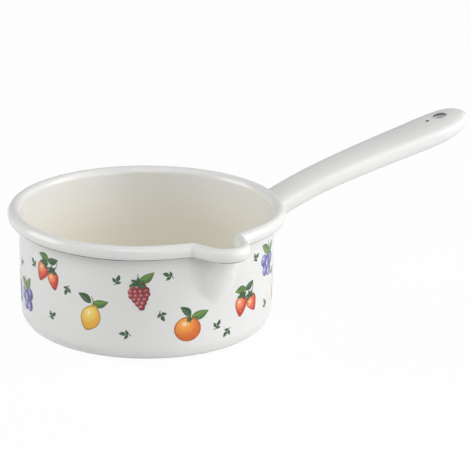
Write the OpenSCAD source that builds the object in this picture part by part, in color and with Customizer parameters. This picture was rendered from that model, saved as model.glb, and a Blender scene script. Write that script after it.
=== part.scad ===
// Enamelled steel milk pan with a pouring lip and a hollow welded handle.
// The pan's axis is Z, the handle runs along +X and the lip faces -Y.
// The origin is the middle of the flat base.

/* [Pan] */
// Inside diameter at the rim
bore_d = 160; // [140:2:190]
// Height from the base to the top of the rolled rim
pan_h = 77.6; // [72:0.2:96]
// Wall and base: steel with the enamel on both sides
wall_t = 1.2; // [0.9:0.1:1.8]
// Cream enamel on the inside, part of the wall's thickness
lining_t = 0.3; // [0.2:0.05:0.4]
// Lean of the wall out of upright, in degrees
wall_lean = 1.3; // [0:0.1:3]
// Outer radius of the corner between base and wall
corner_r = 12; // [8:0.5:15]

/* [Rolled rim] */
// Width of the roll, from the inside of the wall to its outermost point
roll_w = 8; // [7:0.25:10]
// Height of the roll
roll_h = 9.4; // [8.6:0.2:12]
// How far the sheet is rolled round, in degrees
roll_turn = 292; // [270:2:300]
// Where the cream lining feathers out, in degrees round the roll
lining_turn = 33; // [20:1:50]

/* [Pouring lip] */
// How far the lip stands out of the round wall
lip_reach = 17.4; // [14:0.1:20]
// Turn of the lip from square to the handle, in degrees, away from the handle if below 0
lip_turn = -1.5; // [-5:0.5:5]
// Inside radius of the lip's tip
lip_tip_r = 8.2; // [6:0.1:12]
// How much the radius of the flare beside the lip is more than the roll's width
lip_flare_over = 1.3; // [1:0.1:3]
// Angle between the lip's middle and each of its sides, in degrees
lip_side_angle = 21.5; // [17:0.5:28]
// How far the rim is drawn in on both sides of the lip, as the lip takes up its metal
lip_draw_in = 2.9; // [0:0.1:3.4]
// Where the drawn-in stretch ends, in degrees from the lip's middle
lip_draw_end = 45; // [36:1:60]
// Height of the lip's foot on the wall
lip_foot_h = 33; // [28:0.5:44]
// Share of the lip's height over which its foot blends into the wall
lip_blend_share = 0.25; // [0.1:0.05:0.5]

/* [Handle] */
// Distance from the pan's axis to the handle's tip
handle_reach = 258; // [230:1:290]
// Depth of the handle's seam under the roll, where the handle meets the wall
handle_drop = 14.2; // [12.6:0.2:20]
// Rise of the seam from the wall to the handle's tip
handle_rise = 42.5; // [35:0.5:52]
// Width near the tip, before the end rounds it off
handle_w = 34; // [28:0.5:38]
// Greatest height of the upper shell above the seam
crown_h = 7.2; // [6:0.1:9]
// Greatest depth of the lower shell below the seam
belly_h = 11.6; // [9:0.1:13]
// Wall of the two shells, enamel included
shell_t = 1.2; // [0.9:0.1:1.6]
// Length of the rounded end
end_l = 33; // [28:0.5:38]
// Height of the welded seam between the shells
seam_h = 1.2; // [0.8:0.1:1.6]
// Leg of the fillet weld round the root
weld_leg = 2.2; // [1.6:0.1:2.8]

/* [Holes] */
// Inside diameter of the eyelet in the hanging hole
hang_d = 9; // [7:0.25:10]
// Wall of the eyelet, enamel included
eyelet_t = 1; // [0.8:0.1:1.4]
// Distance from the tip to the hanging hole's centre
hang_from_tip = 20; // [18:0.2:26]
// Diameter of the vent hole
vent_d = 2.5; // [2:0.25:4]
// Distance between the centres of the two holes
hole_gap = 10.4; // [9:0.1:14]

/* [Hidden] */
white_enamel = "white";
cream_enamel = "antiquewhite";

// Radius of the inside of the pan's wall at a height, and the middle of the roll
in_r = bore_d / 2;
roll_cx = in_r + roll_w / 2;
roll_cz = pan_h - roll_h / 2;
function wall_r(z) = in_r - (roll_cz - z) * tan(wall_lean);
corner_in_r = corner_r - wall_t;
corner_top_h = corner_r - corner_in_r * sin(wall_lean);
corner_cx = wall_r(corner_top_h) - corner_in_r * cos(wall_lean);
corner_steps = 6;
lining_steps = 3;
roll_steps = 12;

// A profile point is [radius, height, reach of the lip there, radius that it starts from].
// The lip's reach grows from nothing at its foot, softly at first and then evenly.
function rise_share(z) = min(1, max(0, (z - lip_foot_h) / (roll_cz - lip_foot_h)));
function reach_at(z) =
    let (t = rise_share(z))
    lip_reach * (t < lip_blend_share ? t * t / (2 * lip_blend_share) : t - lip_blend_share / 2)
    / (1 - lip_blend_share / 2);
function corner_point(i, inset) =
    let (a = -90 + (90 - wall_lean) * i / corner_steps, r = corner_r - inset)
    [corner_cx + r * cos(a), corner_r + r * sin(a), 0, in_r];
function wall_point(z, inset) =
    [wall_r(z) + wall_t - inset, z, reach_at(z), wall_r(z)];
function roll_point(a, inset) =
    [roll_cx + (roll_w / 2 - inset) * cos(a), roll_cz + (roll_h / 2 - inset) * sin(a),
     lip_reach, in_r];
function lining_angle(i) = 180 - lining_turn * i / lining_steps;
function roll_angle(i) = 180 - lining_turn - (roll_turn - lining_turn) * i / roll_steps;
function corner_points(inset) = [for (i = [0 : corner_steps]) corner_point(i, inset)];
function backwards(list) = [for (i = [len(list) - 1 : -1 : 0]) list[i]];

// Profiles run from the outside of the base up the wall, round the edge and back down the
// inside to the middle of the base. Some levels between its foot and the rim carry the lip.
lip_level_shares = [0, 0.1, 0.24, 0.42, 0.68];
function wall_points(inset) =
    concat(corner_points(inset),
           [for (t = lip_level_shares) wall_point(lip_foot_h + t * (roll_cz - lip_foot_h), inset)]);
body_profile = concat(
    wall_points(0),
    [for (i = [0 : lining_steps - 1]) roll_point(lining_angle(i), wall_t)],
    [for (i = [0 : roll_steps]) roll_point(roll_angle(i), wall_t)],
    [for (i = [roll_steps : -1 : 0]) roll_point(roll_angle(i), 0)],
    [for (i = [lining_steps - 1 : -1 : 0])
        roll_point(lining_angle(i), lining_t * (1 - i / lining_steps))],
    backwards(wall_points(wall_t - lining_t)));
lining_profile = concat(
    wall_points(wall_t - lining_t),
    [for (i = [0 : lining_steps])
        roll_point(lining_angle(i), lining_t * (1 - i / lining_steps))],
    [for (i = [lining_steps - 1 : -1 : 0]) roll_point(lining_angle(i), 0)],
    backwards(wall_points(wall_t)));

// Plan of the lip's inside where it reaches d out of the round wall: the tip's arc, a
// straight side once it is steep enough, and a flare that runs out into the wall. The radii
// are the same all the way down, as the lip is pressed. Beside it the wall is drawn in.
function round_y(x, r) = sqrt(r * r - x * x);
lip_flare_r = roll_w + lip_flare_over;
function drawn_in(d) = lip_draw_in * pow(d / lip_reach, 2);
function beside_r(d) = in_r - drawn_in(d);
function flare_cr(d) = beside_r(d) + lip_flare_r;
function tip_y(d) = in_r + d - lip_tip_r;
function side_d(d) = lip_tip_r + tip_y(d) * sin(lip_side_angle);
function arcs_a(d) =
    acos(min(1, (pow(flare_cr(d), 2) + pow(tip_y(d), 2) - pow(lip_flare_r + lip_tip_r, 2))
                / (2 * flare_cr(d) * tip_y(d))));
function turn_of(a, d) = atan2(flare_cr(d) * sin(a), flare_cr(d) * cos(a) - tip_y(d));
function has_side(d) = turn_of(arcs_a(d), d) > 90 - lip_side_angle;
function flare_a(d) =
    has_side(d) ? asin((side_d(d) + lip_flare_r) / flare_cr(d)) - lip_side_angle : arcs_a(d);
function side_turn(d) = has_side(d) ? 90 - lip_side_angle : turn_of(flare_a(d), d);
function plan_y(x, d) =
    let (a = flare_a(d), turn = side_turn(d), flare_x = flare_cr(d) * sin(a))
    x < lip_tip_r * sin(turn) ? tip_y(d) + round_y(x, lip_tip_r)
    : has_side(d) && x < flare_x - lip_flare_r * sin(turn)
        ? (side_d(d) - x * cos(lip_side_angle)) / sin(lip_side_angle)
    : x < beside_r(d) * sin(a) ? flare_cr(d) * cos(a) - round_y(flare_x - x, lip_flare_r)
    : round_y(x, beside_r(d));

// Stations round the pan. Half of the lip's mouth has some, dealt out over its arcs and side
// by how much they bend, some follow beside it, and then the rest of the round.
mouth_steps = 9;
side_weight_share = 0.3;
flare_weight = 1.25;
beside_steps = 3;
half_lip = mouth_steps + beside_steps;
flank_stations = 9;
back_stations = 10;
half_round = flank_stations + back_stations;
stations = 2 * (half_lip + half_round);
lip_least_share = 0.02;
lip_end_over = 1.3;
lip_end_a = flare_a(lip_reach) * lip_end_over;
slope_step_share = 0.003;
function lip_x(k, d) =
    let (e = max(d, lip_reach * lip_least_share), a = flare_a(e), turn = side_turn(e),
         tip_to = lip_tip_r * sin(turn), flare_x = flare_cr(e) * sin(a),
         flare_from = flare_x - lip_flare_r * sin(turn),
         side_part = max(0, flare_from - tip_to) / (lip_tip_r * sin(lip_side_angle))
                     * side_weight_share * 180 / PI,
         m = (turn + side_part + flare_weight * (turn - a)) * k / mouth_steps,
         past_tip = m - turn)
    k > mouth_steps ? beside_r(e) * sin(a + (lip_end_a - a) * (k - mouth_steps) / beside_steps)
    : past_tip < 0 ? lip_tip_r * sin(m)
    : past_tip < side_part ? tip_to + (flare_from - tip_to) * past_tip / side_part
    : flare_x - lip_flare_r * sin(turn - (past_tip - side_part) / flare_weight);
function round_angle(k) =
    k <= flank_stations ? lip_end_a + (90 - lip_end_a) * k / flank_stations
    : k <= half_round ? 90 + 90 * (k - flank_stations) / back_stations
    : 360 - round_angle(2 * half_round - k);
function drawn_share(a) =
    let (t = min(1, max(0, (lip_draw_end - min(a, 360 - a)) / (lip_draw_end - lip_end_a))))
    t * t * (3 - 2 * t);

// Plan of the wall's inside, and a profile point set off square to it
function wall_y(x, ref, d) =
    round_y(x, ref - drawn_in(d)) + plan_y(abs(x), d) - round_y(x, beside_r(d));
function set_off(p, x) =
    let (dx = lip_tip_r * slope_step_share,
         slope = (wall_y(x + dx, p[3], p[2]) - wall_y(x - dx, p[3], p[2])) / (2 * dx),
         n = [-slope, 1] / norm([slope, 1]))
    [x + n[0] * (p[0] - p[3]), -wall_y(x, p[3], p[2]) - n[1] * (p[0] - p[3]), p[1]];
function round_point(p, a) =
    let (r = p[0] - drawn_in(p[2]) * drawn_share(a)) [r * sin(a), -r * cos(a), p[1]];
function pan_point(p, j) =
    let (k = abs(j - half_lip), x = sign(j - half_lip) * lip_x(k, p[2]))
    k >= half_lip ? round_point(p, j > half_lip ? round_angle(j - 2 * half_lip) : -lip_end_a)
    : p[2] > 0 ? set_off(p, x) : round_point(p, asin(x / in_r));

// Solid lofted round the pan from a profile: a ring of points for each profile point,
// closed by the flat discs of the first and the last ring
module lofted_round(profile) {
    points = [for (p = profile) for (j = [0 : stations - 1]) pan_point(p, j)];
    sides = [for (i = [0 : len(profile) - 2]) for (j = [0 : stations - 1])
        let (a = i * stations + j, b = i * stations + (j + 1) % stations)
        for (f = [[a, a + stations, b], [b, a + stations, b + stations]]) f];
    first = [for (j = [0 : stations - 1]) j];
    last = [for (j = first) len(profile) * stations - 1 - j];
    polyhedron(points, concat([first, last], sides));
}

// Base, wall, lip and rolled rim, pressed from one sheet
module pan_body() {
    color(white_enamel) rotate([0, 0, lip_turn]) lofted_round(body_profile);
}

// Cream enamel fused to the inside, feathered out on the roll
module cream_lining() {
    color(cream_enamel) rotate([0, 0, lip_turn]) lofted_round(lining_profile);
}

// Handle. Its seam follows a curve from the wall to the tip, and each section is a rounded
// oval across that curve, with the crown above the seam and the belly below it.
spine_shares = [[0, 0], [0.165, 0.418], [0.615, 0.675], [1, 1]];
width_shares = [[0, 0.72], [0.2, 0.73], [0.4, 0.78], [0.65, 0.89], [0.88, 1], [1, 1.15]];
crown_shares = [[0, 0.74], [0.2, 0.79], [0.4, 0.92], [0.65, 0.92], [0.88, 0.88], [1, 1.15]];
belly_shares = [[0, 1], [0.2, 0.86], [0.4, 0.76], [0.65, 0.81], [0.88, 0.82], [1, 0.35]];
section_power = 2.3;
end_width_power = 2.4;
end_height_power = 4.2;
handle_root_h = pan_h - roll_h - handle_drop;
root_x = wall_r(handle_root_h) + wall_t;
handle_l = handle_reach - root_x;
seat_gap = 0.02;
handle_stations = 17;
end_stations = 6;
end_last_share = 0.995;
arc_steps = 12;

// Value of a table of shares, smooth through its rows
function row_slope(t, i) =
    let (a = max(0, i - 1), b = min(len(t) - 1, i + 1)) (t[b][1] - t[a][1]) / (t[b][0] - t[a][0]);
function row_of(t, s, i = 0) = i >= len(t) - 2 || s < t[i + 1][0] ? i : row_of(t, s, i + 1);
function along(t, s) =
    let (i = row_of(t, s), w = t[i + 1][0] - t[i][0], q = (s - t[i][0]) / w)
    t[i][1] * (1 + 2 * q) * (1 - q) * (1 - q) + row_slope(t, i) * w * q * (1 - q) * (1 - q)
    + t[i + 1][1] * q * q * (3 - 2 * q) + row_slope(t, i + 1) * w * q * q * (q - 1);

// Seam curve and its direction, as [x, z]
function spine_corner(i) =
    [root_x + handle_l * spine_shares[i][0],
     handle_root_h + handle_rise * spine_shares[i][1]];
function spine(s) =
    let (q = 1 - s)
    q * q * q * spine_corner(0) + 3 * q * q * s * spine_corner(1)
    + 3 * q * s * s * spine_corner(2) + s * s * s * spine_corner(3);
function spine_along(s) =
    let (q = 1 - s,
         d = q * q * (spine_corner(1) - spine_corner(0))
           + 2 * q * s * (spine_corner(2) - spine_corner(1))
           + s * s * (spine_corner(3) - spine_corner(2)))
    d / norm(d);

// Stations from the wall to the tip, crowded in the rounded end. The second one stands
// off the wall by more than the leaning section and the weld need.
end_share = end_l / handle_l;
clear_share = (crown_h + weld_leg) / (3 * spine_shares[1][0] * handle_l);
function station(i) =
    i == 0 ? 0
    : i <= handle_stations
        ? clear_share + (1 - end_share - clear_share) * (i - 1) / (handle_stations - 1)
    : 1 - end_share * (1 - end_last_share * sin(90 * (i - handle_stations) / end_stations));
function end_at(s) = max(0, (s - 1 + end_share) / end_share);
function end_width(s) = sqrt(1 - pow(end_at(s), end_width_power));
function end_height(s) = sqrt(1 - pow(end_at(s), end_height_power));
last_station = handle_stations + end_stations;

// Half width and height of a section, on its outside or, with an inset, on its inside
function half_w(s, inset) = (handle_w / 2 * along(width_shares, s) - inset) * end_width(s);
function crown_at(s, inset) =
    (crown_h * along(crown_shares, s) - seam_h / 2 - inset) * end_height(s);
function belly_at(s, inset) =
    (belly_h * along(belly_shares, s) - seam_h / 2 - inset) * end_height(s);
function bent(v) = sign(v) * pow(abs(v), 2 / section_power);

// Point of a section at y across and h above the seam curve. The first section is slid
// along the handle until it lies on the pan's wall.
function section_point(i, y, h, inset) =
    let (s = station(i) * (1 - inset / handle_l), c = spine(s), d = spine_along(s),
         x = c[0] - h * d[1], z = c[1] + h * d[0])
    i > 0 ? [x, y, z]
    : let (rough = z + (root_x - x) * d[1] / d[0],
           wall_x = round_y(y, wall_r(rough) + wall_t + seat_gap))
      [wall_x, y, z + (wall_x - x) * d[1] / d[0]];
function shell_arc_point(i, k, side, inset) =
    let (s = station(i), a = 180 * k / arc_steps,
         h = side > 0 ? crown_at(s, inset) : belly_at(s, inset))
    section_point(i, half_w(s, inset) * bent(cos(a)), side * (seam_h / 2 + h * bent(sin(a))),
                  inset);

// Solid between an outer and an inner row of points at each station, closed at both ends.
// Both rows have the same number of points, and the rings run in the sense of side.
module lofted_shell(outer, inner, side) {
    n = len(outer[0]);
    ring = 2 * n;
    last = len(outer) - 1;
    rows = [for (i = [0 : last]) concat(outer[i], backwards(inner[i]))];
    quads = concat(
        [for (i = [0 : last - 1]) for (k = [0 : ring - 1])
            let (a = i * ring + k, b = i * ring + (k + 1) % ring) [a, b, b + ring, a + ring]],
        [for (k = [0 : n - 2]) [k + 1, k, ring - 1 - k, ring - 2 - k]],
        [for (k = [0 : n - 2]) last * ring * [1, 1, 1, 1] + [k, k + 1, ring - 2 - k, ring - 1 - k]]);
    faces = [for (q = quads) for (f = [[q[0], q[1], q[2]], [q[0], q[2], q[3]]]) f];
    polyhedron([for (row = rows) for (p = row) p], [for (f = faces) side > 0 ? backwards(f) : f]);
}

module handle_shell(side) {
    outer = [for (i = [0 : last_station])
        [for (k = [0 : arc_steps]) shell_arc_point(i, k, side, 0)]];
    inner = [for (i = [0 : last_station])
        [for (k = [0 : arc_steps]) shell_arc_point(i, k, side, shell_t)]];
    lofted_shell(outer, inner, side);
}

// Round bar through the handle, square to its crest, for the holes and the eyelet
cut_over = 3;
hole_fn = 40;
crest_step_share = 0.02;
function share_at(x, low = 0, high = 1, halvings = 24) =
    let (mid = (low + high) / 2)
    halvings == 0 ? mid
    : spine(mid)[0] < x ? share_at(x, mid, high, halvings - 1)
    : share_at(x, low, mid, halvings - 1);
function crest(s) =
    let (d = spine_along(s)) spine(s) + (seam_h / 2 + crown_at(s, 0)) * [-d[1], d[0]];
module bar(from_tip, d, depth) {
    s = share_at(handle_reach - from_tip);
    run = crest(s + crest_step_share) - crest(s - crest_step_share);
    translate([crest(s)[0], 0, crest(s)[1]]) rotate([0, -atan2(run[1], run[0]), 0])
        translate([0, 0, -depth]) cylinder(d = d, h = depth + cut_over, $fn = hole_fn);
}
hang_depth = crown_h + belly_h + cut_over;
eyelet_d = hang_d + 2 * eyelet_t;

// Upper half of the handle, with the hanging hole and the vent hole
module handle_upper_shell() {
    color(white_enamel) difference() {
        handle_shell(1);
        bar(hang_from_tip, eyelet_d + 2 * seat_gap, hang_depth);
        bar(hang_from_tip + hole_gap, vent_d, cut_over);
    }
}

// Lower half of the handle, with the hanging hole
module handle_lower_shell() {
    color(white_enamel) difference() {
        handle_shell(-1);
        bar(hang_from_tip, eyelet_d + 2 * seat_gap, hang_depth);
    }
}

// Stretch of the handle's outside round the hanging hole, as a closed solid
eyelet_slices = 8;
outline = concat([for (k = [0 : arc_steps]) [k, 1]],
                 [for (k = [arc_steps - 1 : -1 : 1]) [k, -1]]);
function outline_point(s, k, side) =
    let (a = 180 * k / arc_steps, c = spine(s), d = spine_along(s),
         h = seam_h / 2 + (side > 0 ? crown_at(s, 0) : belly_at(s, 0)) * bent(sin(a)))
    [c[0] - side * h * d[1], half_w(s, 0) * bent(cos(a)), c[1] + side * h * d[0]];
module hole_surround() {
    near = share_at(handle_reach - hang_from_tip - eyelet_d);
    far = share_at(handle_reach - hang_from_tip + eyelet_d);
    n = len(outline);
    points = [for (i = [0 : eyelet_slices])
        for (r = outline) outline_point(near + (far - near) * i / eyelet_slices, r[0], r[1])];
    sides = [for (i = [0 : eyelet_slices - 1]) for (k = [0 : n - 1])
        let (a = i * n + k, b = i * n + (k + 1) % n)
        for (f = [[a, a + n, b], [b, a + n, b + n]]) f];
    polyhedron(points, concat([[for (k = [0 : n - 1]) k],
                               [for (k = [n - 1 : -1 : 0]) eyelet_slices * n + k]], sides));
}

// Tube welded into both shells, its ends flush with them, so that the hollow stays shut
module hanging_eyelet() {
    color(white_enamel) difference() {
        intersection() {
            hole_surround();
            bar(hang_from_tip, eyelet_d, hang_depth);
        }
        bar(hang_from_tip, hang_d, hang_depth);
    }
}

// Weld that joins the two shells, flush with them, along both sides and round the tip
module handle_seam_weld() {
    order = concat([for (i = [0 : last_station]) [i, 1]],
                   [for (i = [last_station : -1 : 0]) [i, -1]]);
    outer = [for (o = order) [for (h = [-1, 1])
        section_point(o[0], o[1] * half_w(station(o[0]), 0), h * seam_h / 2, 0)]];
    inner = [for (o = order) [for (h = [-1, 1])
        section_point(o[0], o[1] * half_w(station(o[0]), shell_t), h * seam_h / 2, shell_t)]];
    color(white_enamel) lofted_shell(outer, inner, 1);
}

// Fillet weld round the handle's root, a hair clear of it. Each section has a corner in the
// angle between wall and handle, a toe on each of them and a point that hollows its face.
weld_hollow_share = 0.3;
weld_gap = 0.05;
root_line = concat([for (k = [0 : arc_steps]) [k, 1]],
                   [for (k = [arc_steps : -1 : 0]) [k, -1]]);
function root_point(i, q) =
    let (r = root_line[(q + len(root_line)) % len(root_line)]) shell_arc_point(i, r[0], r[1], 0);
function weld_section(q) =
    let (t = root_point(0, q + 1) - root_point(0, q - 1),
         n = [0, t[2], -t[1]] / norm([t[1], t[2]]),
         a = root_point(0, q) + n * weld_gap, up = root_point(1, q) - root_point(0, q),
         handle_toe = up * weld_leg / norm(up), foot = a + n * weld_leg,
         wall_toe = [round_y(foot[1], wall_r(foot[2]) + wall_t + seat_gap), foot[1], foot[2]] - a)
    [a, a + wall_toe, a + (wall_toe + handle_toe) * weld_hollow_share, a + handle_toe];
module handle_root_weld() {
    count = len(root_line);
    sections = [for (q = [0 : count - 1]) weld_section(q)];
    m = len(sections[0]);
    faces = [for (q = [0 : count - 1]) for (k = [0 : m - 1])
        let (a = q * m + k, b = q * m + (k + 1) % m, c = ((q + 1) % count) * m + (k + 1) % m,
             d = ((q + 1) % count) * m + k)
        for (f = [[a, b, c], [a, c, d]]) f];
    color(white_enamel) polyhedron([for (s = sections) for (p = s) p], faces);
}

pan_body();
cream_lining();
handle_upper_shell();
handle_lower_shell();
handle_seam_weld();
handle_root_weld();
hanging_eyelet();
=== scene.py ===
import math
import bmesh
import bpy
import numpy as np
from mathutils import Matrix, Vector


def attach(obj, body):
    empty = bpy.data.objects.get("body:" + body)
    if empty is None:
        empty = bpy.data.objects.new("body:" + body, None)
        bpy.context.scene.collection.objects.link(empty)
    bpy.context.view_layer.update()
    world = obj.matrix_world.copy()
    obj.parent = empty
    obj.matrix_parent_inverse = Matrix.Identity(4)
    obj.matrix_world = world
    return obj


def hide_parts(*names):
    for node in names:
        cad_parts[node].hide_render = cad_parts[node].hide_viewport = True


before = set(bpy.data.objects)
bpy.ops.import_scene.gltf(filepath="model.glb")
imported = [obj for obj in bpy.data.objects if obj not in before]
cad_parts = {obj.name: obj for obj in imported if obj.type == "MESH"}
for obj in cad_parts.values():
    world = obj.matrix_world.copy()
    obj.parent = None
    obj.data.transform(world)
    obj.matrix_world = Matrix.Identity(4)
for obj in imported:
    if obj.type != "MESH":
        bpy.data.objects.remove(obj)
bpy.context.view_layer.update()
mm = 0.001
tiny = 0.001  # keeps a division away from zero
sharpAngle = math.radians(35)  # from here an edge stays crisp
print("frame loaded")


class Value:  # a socket that Python's operators work on
    def __init__(self, maker, socket):
        self.maker = maker
        self.socket = socket

    def calc(self, operation, other=None, swapped=False):
        pair = [other, self] if swapped else [self, other]
        return self.maker.node("ShaderNodeMath", {"operation": operation}, pair)

    def __add__(self, other):
        return self.calc("ADD", other)

    def __sub__(self, other):
        return self.calc("SUBTRACT", other)

    def __mul__(self, other):
        return self.calc("MULTIPLY", other)

    def __truediv__(self, other):
        return self.calc("DIVIDE", other)

    def __radd__(self, other):
        return self.calc("ADD", other, True)

    def __rsub__(self, other):
        return self.calc("SUBTRACT", other, True)

    def __rmul__(self, other):
        return self.calc("MULTIPLY", other, True)

    def __rtruediv__(self, other):
        return self.calc("DIVIDE", other, True)

    def __abs__(self):
        return self.calc("ABSOLUTE")

    def root(self):
        return self.calc("SQRT")

    def sine(self):
        return self.calc("SINE")

    def cosine(self):
        return self.calc("COSINE")

    def most(self, other):
        return self.calc("MAXIMUM", other)

    def towards(self, other, share):
        return self + (other - self) * share

    def isAbout(self, number):  # 1 where this is the whole number
        return self.maker.node("ShaderNodeMath", {"operation": "COMPARE"}, [self, number, 0.5])


class Maker:  # adds nodes to a tree
    def __init__(self, tree):
        self.tree = tree

    def node(self, kind, settings=None, inputs=None, out=0):
        made = self.tree.nodes.new(kind)
        for name, value in (settings or {}).items():
            setattr(made, name, value)
        named = inputs.items() if isinstance(inputs, dict) else enumerate(inputs or [])
        for key, value in named:
            self.put(made.inputs[key], value)
        return Value(self, made.outputs[out])

    def put(self, socket, value):
        if isinstance(value, Value):
            self.tree.links.new(value.socket, socket)
        elif value is not None:
            socket.default_value = value

    def read(self, name, out="Fac"):  # an attribute of the mesh
        return self.node("ShaderNodeAttribute", {"attribute_name": name}, None, out)

    def rise(self, value, low, high):  # 0 below low, 1 above high
        return self.node("ShaderNodeMapRange", {"interpolation_type": "SMOOTHSTEP"},
                         {"Value": value, "From Min": low, "From Max": high})

    def blend(self, factor, first, second):
        made = self.tree.nodes.new("ShaderNodeMix")
        made.data_type = "RGBA"
        made.clamp_factor = True
        keys = {"Factor": factor, "A": first, "B": second}
        for socket in made.inputs:
            if socket.enabled and socket.name in keys:
                value = keys[socket.name]
                self.put(socket, (*value, 1) if isinstance(value, tuple) else value)
        return Value(self, [s for s in made.outputs if s.enabled][0])

    def noise(self, where, scale, detail=2, roughness=0.5):
        return self.node("ShaderNodeTexNoise", {},
                         {"Vector": where, "Scale": scale, "Detail": detail,
                          "Roughness": roughness})

    def swing(self, where, scale):  # noise to both sides of zero
        return self.noise(where, scale, 3) - 0.5

    def seenWhite(self, byEye, inGloss):  # how white the backdrop is to the eye and in the gloss
        path = self.node("ShaderNodeLightPath").socket.node
        eye, gloss, through = (Value(self, path.outputs[kind]) for kind in
                               ("Is Camera Ray", "Is Glossy Ray", "Is Transmission Ray"))
        return eye * byEye + (gloss + through) * inGloss

    def parts(self, vector):
        split = self.node("ShaderNodeSeparateXYZ", {}, [vector]).socket.node
        return [Value(self, socket) for socket in split.outputs]


def newFinish(name, constants):
    finish = bpy.data.materials.new(name)
    finish.use_nodes = True
    shader = finish.node_tree.nodes["Principled BSDF"]
    for key, value in constants.items():
        shader.inputs[key].default_value = value
    return finish, Maker(finish.node_tree), shader


glaze = {"gloss": 0.15, "glossSpread": 0.05, "patchScale": 35, "rippleMm": 0.010,
         "rippleScale": 110, "rippleRough": 0.45, "fineMm": 0.0012, "fineScale": 900, "ior": 1.52}


def glazedFinish(name):  # slight ripple and roughness of fired enamel
    finish, maker, shader = newFinish(name, {"IOR": glaze["ior"]})
    where = maker.node("ShaderNodeTexCoord", {}, None, "Object")
    broad = maker.noise(where, glaze["rippleScale"], 2, glaze["rippleRough"])
    fine = maker.noise(where, glaze["fineScale"], 1)
    height = broad * (glaze["rippleMm"] * mm) + fine * (glaze["fineMm"] * mm)
    bump = maker.node("ShaderNodeBump", {}, {"Strength": 1.0, "Distance": 1.0, "Height": height})
    maker.put(shader.inputs["Normal"], bump)
    patchy = maker.noise(where, glaze["patchScale"], 3)
    maker.put(shader.inputs["Roughness"], glaze["gloss"] + patchy * glaze["glossSpread"])
    return finish, maker, shader, where


# Most pairs in these looks are the start and the end of a change
# The dark colours and the line below the roll paint shade under the roll, along with dark ground coat
# at the raw and bare edges
whiteEnamel = {"colour": (0.803, 0.806, 0.793), "shade": (0.780, 0.784, 0.768), "cloudScale": 16,
               "cloud": (0.3, 0.75), "groundCoatAndShade": (0.035, 0.038, 0.042),
               "groundAndShadeGrey": (0.30, 0.30, 0.30), "shadeAndGroundLine": (41, 50), "shadeAndGroundLineEnd": (66, 76),
               "rawEdge": (105, 109), "sideways": (0.832, -0.555), "thinPlaces": (-0.022, 0.03),
               "thinSpread": 0.012, "thinShare": 0.3, "coverScale": 26, "coverRough": 0.6,
               "cover": (0.34, 0.50), "leastShadeAndGroundLine": 0.25, "waveScale": 240, "wave": (0.6, 0.95),
               "bareScale": 420, "bare": (0.20, 0.38)}


def makeWhite():
    finish, maker, shader, where = glazedFinish("whiteEnamel")
    look = whiteEnamel
    cloud = maker.rise(maker.noise(where, look["cloudScale"], 3), *look["cloud"])
    base = maker.blend(cloud, look["colour"], look["shade"])
    down = 0 - maker.read("rollAngle")  # degrees below level on the outside of the roll
    # a band on the roll's underside: painted shade where the roll overhangs the wall, partly dark
    # ground coat
    lower = maker.rise(down, *look["shadeAndGroundLine"]) - maker.rise(down, *look["shadeAndGroundLineEnd"])
    x, y = maker.parts(where)[:2]
    sideways = x * look["sideways"][0] + y * look["sideways"][1]
    thin = [maker.rise(sideways, place, place + look["thinSpread"]) for place in look["thinPlaces"]]
    lower = lower * (1 - (thin[0] - thin[1]) * look["thinShare"])
    lower = lower + maker.rise(down, *look["rawEdge"])
    patches = maker.noise(where, look["coverScale"], 3, look["coverRough"])
    cover = maker.rise(patches, *look["cover"])
    wave = maker.rise(maker.noise(where, look["waveScale"], 2) + lower, *look["wave"])
    shadeAndGroundLine = lower * (look["leastShadeAndGroundLine"] + (1 - look["leastShadeAndGroundLine"]) * cover) * wave
    chips = maker.rise(maker.noise(where, look["bareScale"], 3), *look["bare"])
    bare = maker.read("bareEdge") * chips
    # dark ground coat at bare edges and the raw edge, and painted shade in the band under the roll
    dark = maker.blend(cover.most(bare), look["groundAndShadeGrey"], look["groundCoatAndShade"])
    maker.put(shader.inputs["Base Color"], maker.blend(shadeAndGroundLine.most(bare), base, dark))
    return finish


creamEnamel = {"deep": (0.836, 0.806, 0.702), "pale": (0.850, 0.832, 0.778),
               "edge": (0.803, 0.806, 0.793), "cloudScale": 14, "cloudMm": 12, "paleMm": (18, 58),
               "thinMm": (52, 78), "thinShare": 0.8, "wanderScale": 60, "wander": 0.35,
               "fade": (0.45, 0.85)}


def makeCream():
    finish, maker, shader, where = glazedFinish("creamEnamel")
    look = creamEnamel
    height = maker.parts(where)[2] / mm  # the cream is deeper towards the bottom and paler towards the rim
    cloud = maker.swing(where, look["cloudScale"]) * look["cloudMm"]
    base = maker.blend(maker.rise(height + cloud, *look["paleMm"]), look["deep"], look["pale"])
    wander = maker.swing(where, look["wanderScale"]) * look["wander"]
    fade = maker.rise(maker.read("liningEdge") + wander, *look["fade"])
    fade = fade.most(maker.rise(height, *look["thinMm"]) * look["thinShare"])
    maker.put(shader.inputs["Base Color"], maker.blend(fade, base, look["edge"]))
    return finish


printPaint = {"outline": (0.035, 0.045, 0.030), "outlineShare": 0.6, "edgeShare": 0.8,
              "glint": (0.93, 0.91, 0.86), "glintPlace": (-0.32, 0.36), "glintFade": (0.06, 0.26),
              "glintShare": 0.6, "seed": (0.80, 0.55, 0.16), "seedScale": 3.4,
              "seedFade": (0.10, 0.2), "mottleScale": 800, "veinsUp": 44, "veinsAcross": 16,
              "vein": (0.55, 0.95), "veinShare": 0.35, "bladeLight": 0.25, "foldShare": 0.5,
              "fold": (-0.12, 0.12), "bladeMottle": 0.8, "bladeRim": (0.66, 0.98),
              "bladeRimMottle": 0.3, "round": (0.12, 1.2), "roundMottle": 0.5,
              "roundRim": (0.84, 0.97), "roundRimMottle": 0.12}


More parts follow.
